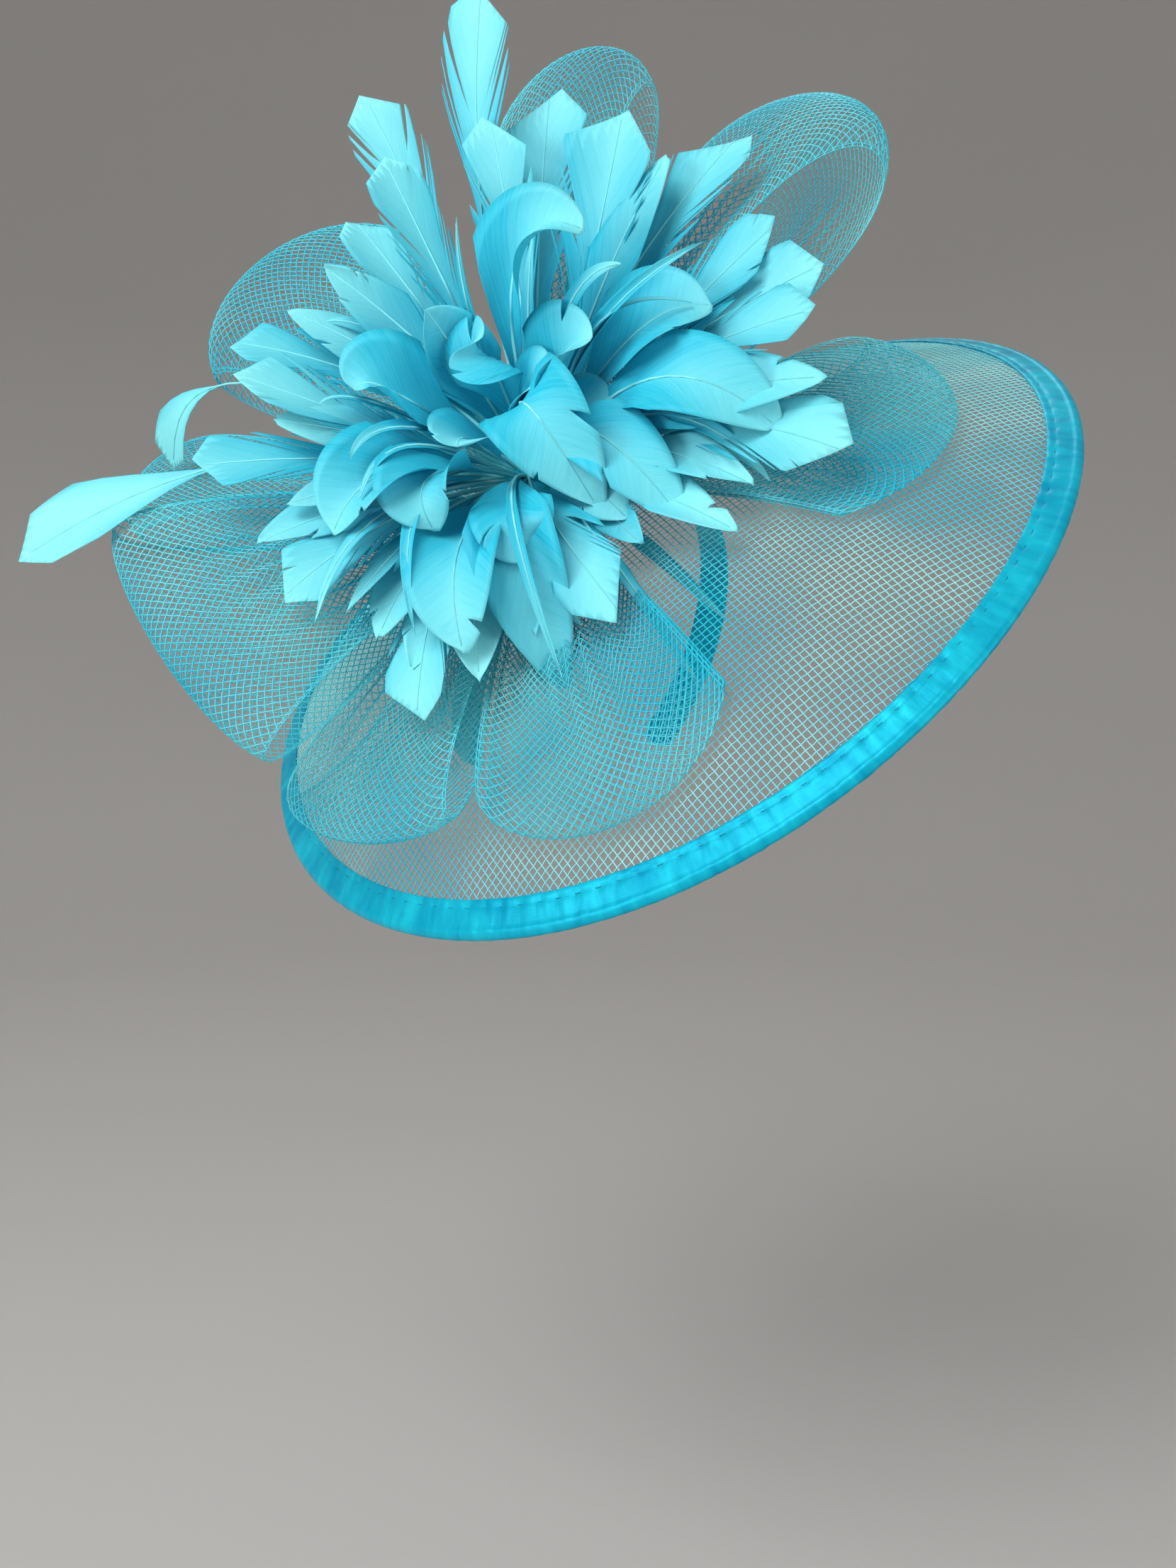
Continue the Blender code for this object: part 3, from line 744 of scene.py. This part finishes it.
def make_loop(row, material):
    """A folded ribbon of net: its flat threads are laid along the loop and gathered to its root on the core."""
    name, width = row[0], row[4]
    shares = np.linspace(0, 1, 400)
    steps = np.linalg.norm(np.diff(loop_points(row, shares, np.zeros(400)), axis=0), axis=1)
    run = np.concatenate(((0,), np.cumsum(steps)))
    length = run[-1]
    half = LOOP_WIDTH * width / 2
    net = bias_net(math.hypot(length, 2 * half), LOOP_PITCH, 0)
    for side in (-1, 1):
        cut(net, Vector((side * length / 2, 0, 0)), Vector((side, 0, 0)))
        cut(net, Vector((0, side * half, 0)), Vector((0, side, 0)))
        for inset in (0, THREAD_RADIUS * 3):
            line(net, (-length / 2, side * (half - inset), 0), (length / 2, side * (half - inset), 0),
                 SELVEDGE_STEPS)
    flat = coordinates(net)
    s = np.interp(flat[:, 0] + length / 2, run, shares)
    t = np.clip(flat[:, 1] / half, -1, 1)
    points = loop_points(row, s, t) + loop_faces(row, s, t) * flat[:, 2:]
    move_to(net, place(points))
    piece = dress(threaded(name + "_threads", net, material), "loop_crin", name)
    2 * half
    net_cover(2 * half, length, LOOP_PITCH)
    return piece


def feather_path(root, row, chance):
    """Where a feather's quill runs: a function of the share of its length gives its point, side and face."""
    bearing, lean, length, width, arch, bow, kind = row
    right, up, near = show_axes()
    b = math.radians(bearing)
    e = math.radians(lean)
    top = FRAME @ Vector((0, 0, 1))
    aim = (right * math.cos(b) + up * math.sin(b)) * math.cos(e) + near * math.sin(e)
    launch = (aim + top * arch).normalized() * bow
    full = FEATHER_LENGTH * length
    most = KINDS[kind][5]
    sway = chance.uniform(-0.05, 0.05) * full
    twist = math.radians(chance.uniform(-most, most))

    def at(share):
        point = root + launch * (full * share * (1 - share)) + aim * (full * share * share)
        heading = (launch * (1 - 2 * share) + aim * (2 * share)).normalized()
        side = heading.cross(top + near).normalized()
        point = point + side * (sway * 4 * share * (1 - share))
        side = Matrix.Rotation(twist * share, 3, heading) @ side
        return point, side, side.cross(heading)

    return at


def breadth(kind, share):
    """A vane's width at a share of its length, as a share of its full width."""
    bare, widest, slow, grown = KINDS[kind][:4]
    place_on = (share - bare) / (grown - bare)
    peak = (widest - bare) / (grown - bare)
    if place_on <= 0:
        return 0.0
    if place_on < peak:
        return math.sin(math.pi / 2 * place_on / peak) ** (slow * 1.4)
    return max(0.0, 1 - ((place_on - peak) / (1 - peak)) ** 2.2) ** 0.8


def add_vane(shape, path, length, width, kind, chance, tone):
    """A flat vane of barbs is split into locks, trimmed with straight cuts and bent along its quill."""
    bare, widest, slow, grown, splits, most = KINDS[kind]
    vane = bmesh.new()
    bmesh.ops.create_grid(vane, x_segments=2 * BARB_STEPS, y_segments=BARB_ROWS, size=0.5)
    for vert in vane.verts:
        vert.co = (vert.co.x * 2, vert.co.y + 0.5, 0)
    barbs = vane.loops.layers.uv.new("barbs")
    for face in vane.faces:
        for loop in face.loops:
            loop[barbs].uv = loop.vert.co.xy

    locks = {}
    for side in (-1, 1):
        loose = chance.sample(range(2, LOOSE_ROWS, 2), LOOSE_SPLITS if splits > 1 or kind == "stemmed" else 0)
        rows = sorted(loose + chance.sample(range(LOOSE_ROWS, BARB_ROWS - 2), chance.randint(0, splits)))
        for row in rows:
            start = chance.uniform(0.1, 0.4) if row < LOOSE_ROWS else chance.uniform(0.3, 0.8)
            parted = [edge for edge in vane.edges
                      if all(abs(vert.co.y * BARB_ROWS - row) < 0.1 for vert in edge.verts)
                      and all(vert.co.x * side > start for vert in edge.verts)]
            bmesh.ops.split_edges(vane, edges=parted)
        ends = [0, *rows, BARB_ROWS]
        for number in range(len(rows) + 1):
            middle = (ends[number] + ends[number + 1]) / 2 / BARB_ROWS
            close = 0.75 if splits and ends[number + 1] < LOOSE_ROWS else 0.12
            locks[side, number] = (middle, close, chance.uniform(-0.02, 0.02), chance.uniform(-0.0015, 0.0015))
        locks[side] = rows
    long = FEATHER_LENGTH * length
    half = FEATHER_WIDTH * width / 2
    moved = {}
    for vert in vane.verts:
        middle = sum((face.calc_center_median() for face in vert.link_faces), Vector()) / len(vert.link_faces)
        side = 1 if middle.x > 0 else -1
        lock = sum(1 for row in locks[side] if row < middle.y * BARB_ROWS)
        lock_middle, close, lean, lift = locks[side, lock]
        out = abs(vert.co.x)
        row_share = lock_middle + (vert.co.y - lock_middle) * (1 - close * out ** 2)
        up_quill = bare + (grown - bare) * row_share
        share = up_quill + (grown - up_quill) * BARB_SWEEP * out ** 0.85
        moved[vert] = Vector((vert.co.x * half * breadth(kind, share), long * (share + lean * out ** 2),
                              lift * out ** 2))
    for vert, spot in moved.items():
        vert.co = spot
    if kind in ("trimmed", "stemmed", "stripped"):
        apex = Vector((chance.uniform(-0.35, 0.35) * half, long, 0))
        for side in (-1, 1):
            slant = math.radians(chance.uniform(*TRIM_SLANTS))
            cut(vane, apex, Vector((side * math.cos(slant), math.sin(slant), 0)))
    bmesh.ops.solidify(vane, geom=vane.faces[:], thickness=VANE_THICK)
    tones = vane.verts.layers.float.new("tone")
    cup = chance.uniform(0.3, 1.6) * FEATHER_FOLD * (2 if kind == "petal" else 1)
    for vert in vane.verts:
        vert[tones] = tone
        point, side, face = path(min(vert.co.y / long, 1.02))
        wide = vert.co.x / half
        vert.co = point + side * vert.co.x + face * (vert.co.z + cup * 2 * half * abs(wide) ** 1.6)
    flat = bpy.data.meshes.new("vane")
    vane.to_mesh(flat)
    vane.free()
    shape.from_mesh(flat)
    bpy.data.meshes.remove(flat)


def add_quill(shape, path, tip):
    """A round quill, drawn out from its root to its hair-thin tip."""
    point, side, face = path(0)
    made = bmesh.ops.create_circle(shape, cap_ends=True, segments=QUILL_SIDES, radius=1.0)
    ring = made["verts"][0].link_faces[0]
    for station in range(QUILL_STATIONS + 1):
        share = tip * station / QUILL_STATIONS
        point, side, face = path(share)
        radius = QUILL_WIDTH / 2 * (0.16 + 0.66 * (1 - share) ** 1.3)
        point = point + face * (radius * 0.5)
        if station:
            made = bmesh.ops.extrude_face_region(shape, geom=[ring])["geom"]
            ring = [item for item in made if isinstance(item, bmesh.types.BMFace)][0]
        for number, vert in enumerate(ring.verts):
            turn = 2 * math.pi * number / QUILL_SIDES
            vert.co = point + (side * math.cos(turn) + face * math.sin(turn)) * radius


def bloom_root(row, number):
    """Where a feather is bound into the core, towards the side that it points to."""
    right, up, near = show_axes()
    b = math.radians(row[0])
    e = math.radians(row[1])
    aim = (right * math.cos(b) + up * math.sin(b)) * math.cos(e) + near * math.sin(e)
    side = FRAME.transposed() @ aim
    spread = Vector((side.x, side.y, 0)) * (CORE_RADIUS * ROOT_SPREAD)
    height = CORE_HEIGHT * (ROOT_HEIGHT + ROOT_STAGGER * (number % 3))
    return Vector(place(core_foot() + np.array(spread) + (0, 0, height)))


def petal_rows(chance):
    rows = []
    for kind, count, first, leans, lengths, widths, bows in PETALS:
        for number in range(count):
            bearing = first + 360 * number / count + chance.uniform(-9, 9)
            rows.append((bearing, chance.uniform(*leans), chance.uniform(*lengths), chance.uniform(*widths),
                         chance.uniform(0.3, 1.2), chance.uniform(*bows), kind))
    return rows


def make_feathers(name, rows, roots, slot, vane_material, quill_material, nodes, seed):
    chance = random.Random(seed)
    vanes = bmesh.new()
    quills = bmesh.new()
    for row, root in zip(rows, roots):
        bearing, lean, length, width, arch, bow, kind = row
        path = feather_path(root, row, chance)
        tone = TONES[kind] + chance.uniform(-0.2, 0.2)
        add_vane(vanes, path, length, width, kind, chance, tone)
        add_quill(quills, path, 0.97)
    for shape in (vanes, quills):
        bmesh.ops.recalc_face_normals(shape, faces=shape.faces)
    dress(finished(name + "_vanes", vanes, vane_material), slot, *nodes)
    dress(finished(name + "_quills", quills, quill_material), slot, *nodes)


def make_bloom(vane_material, quill_material):
    roots = [bloom_root(row, number) for number, row in enumerate(FEATHERS)]
    make_feathers("bloom_feather", FEATHERS, roots, "bloom_feather", vane_material, quill_material,
                  ("feather_bloom",), 4)
    petals = petal_rows(random.Random(11))
    roots = [bloom_root(row, number) for number, row in enumerate(petals)]
    make_feathers("bloom_petal", petals, roots, "bloom_feather", vane_material, quill_material,
                  ("feather_bloom",), 5)


def make_long_feathers(vane_material, quill_material):
    for name, seat_bearing, seat_height, bearing, lean, length, width, arch, bow in LONG_FEATHERS:
        b = math.radians(seat_bearing)
        out = np.array((math.cos(b), math.sin(b), 0)) * (CORE_RADIUS + SEAM_GAP + QUILL_WIDTH * 0.35)
        root = Vector(place(core_foot() + out + (0, 0, CORE_HEIGHT * seat_height)))
        row = (bearing, lean, length, width, arch, bow, "stripped")
        make_feathers(name, [row], [root], "long_feather", vane_material, quill_material, (name,), 8)


def make_camera():
    right, up, near = show_axes()
    lens = bpy.data.cameras.new("front_view")
    lens.sensor_fit = "VERTICAL"
    lens.sensor_height = CAMERA_SENSOR
    lens.lens = CAMERA_LENS
    camera = bpy.data.objects.new("front_view", lens)
    bpy.context.scene.collection.objects.link(camera)
    turned = Matrix((right, up, near)).transposed().to_4x4()
    turned.translation = SEAT + right * CAMERA_RIGHT + up * CAMERA_UP + near * CAMERA_OUT
    camera.matrix_world = turned
    bpy.context.scene.camera = camera


def make_lamp(name, spot, aim, size, power):
    data = bpy.data.lights.new(name, "AREA")
    data.size = size
    data.energy = power
    lamp = bpy.data.objects.new(name, data)
    lamp.location = spot
    lamp.rotation_euler = (Vector(aim) - Vector(spot)).to_track_quat("-Z", "Y").to_euler()
    bpy.context.scene.collection.objects.link(lamp)


def make_stage():
    """A pale floor that bends up into a round backdrop, a soft sky and four wide lamps."""
    bowl = bmesh.new()
    low = -FLOOR_DROP
    tip = bmesh.ops.create_vert(bowl, co=(0.001, 0, low))["vert"][0]
    route = [(FLOOR_RADIUS * 0.5, low), (FLOOR_RADIUS, low)]
    for i in range(1, 13):
        turn = math.pi / 2 * i / 12
        route.append((FLOOR_RADIUS + BACKDROP_BEND * math.sin(turn), low + BACKDROP_BEND * (1 - math.cos(turn))))
    route.append((FLOOR_RADIUS + BACKDROP_BEND, low + BACKDROP_HEIGHT))
    for out, high in route:
        tip = bmesh.ops.extrude_vert_indiv(bowl, verts=[tip])["verts"][0]
        tip.co = (out, 0, high)
    bmesh.ops.spin(bowl, geom=bowl.verts[:] + bowl.edges[:], axis=(0, 0, 1), angle=2 * math.pi, steps=96,
                   use_merge=True)
    bmesh.ops.holes_fill(bowl, edges=bowl.edges[:], sides=200)
    paper = Finish("backdrop_paper", Roughness=0.9)
    cloud = paper.noise(paper.object_place(), 1.5)
    paper.set(Base_Color=paper.mix(cloud, linear(186, 184, 182), linear(192, 190, 188)))
    finished("backdrop", bowl, paper.material)

    right, up, near = show_axes()
    aim = SEAT
    make_lamp("key_lamp", SEAT + near * 1.5 + up * 1.3 - right * 0.9, aim, 1.2, 34)
    make_lamp("fill_lamp", SEAT + near * 1.2 + up * 0.1 + right * 1.4, aim, 1.2, 11)
    make_lamp("left_lamp", SEAT + near * 1.1 + up * 0.15 - right * 1.5, aim, 0.7, 12)
    make_lamp("back_lamp", SEAT - near * 1.2 + up * 1.9 - right * 0.2, aim, 1.2, 10)
    world = bpy.data.worlds.new("soft_sky")
    world.use_nodes = True
    world.node_tree.nodes["Background"].inputs["Color"].default_value = linear(230, 236, 240)
    world.node_tree.nodes["Background"].inputs["Strength"].default_value = 0.8
    bpy.context.scene.world = world
    bpy.context.scene.view_settings.view_transform = "Standard"


THREADS = thread_group("threads", THREAD_RADIUS)
make_camera()
make_stage()
make_core(satin_finish("core_satin", TURQUOISE, DEEP_TURQUOISE, "weave"))
LOOP_CRIN = crin_finish("loop_crin_thread", AQUA, TURQUOISE)
for loop_row in LOOPS:
    make_loop(loop_row, LOOP_CRIN)

BRIM, BRIM_CUT, BRIM_COVER = make_brim_net(crin_finish("brim_crin_thread", PALE_AQUA, TURQUOISE))
BINDING = make_binding(satin_finish("edge_satin", EDGE_DYE, DEEP_EDGE_DYE_AND_PAINTED_SHADE, "weave"))
# Stitches coloured darker than the satin: painted shade of their dimples
STITCHES = make_stitches(quill_finish("stitch_thread", DEEP_EDGE_DYE_AND_PAINTED_SHADE, STITCH_PAINTED_SHADE))
make_band(satin_finish("band_satin", EDGE_DYE, DEEP_EDGE_DYE_AND_PAINTED_SHADE, "weave"))
VANE = vane_finish("feather_vane", FADED_AQUA, DEEP_TURQUOISE)
QUILL = quill_finish("feather_quill", PALE_AQUA, AQUA)
make_bloom(VANE, QUILL)
make_long_feathers(VANE, QUILL)
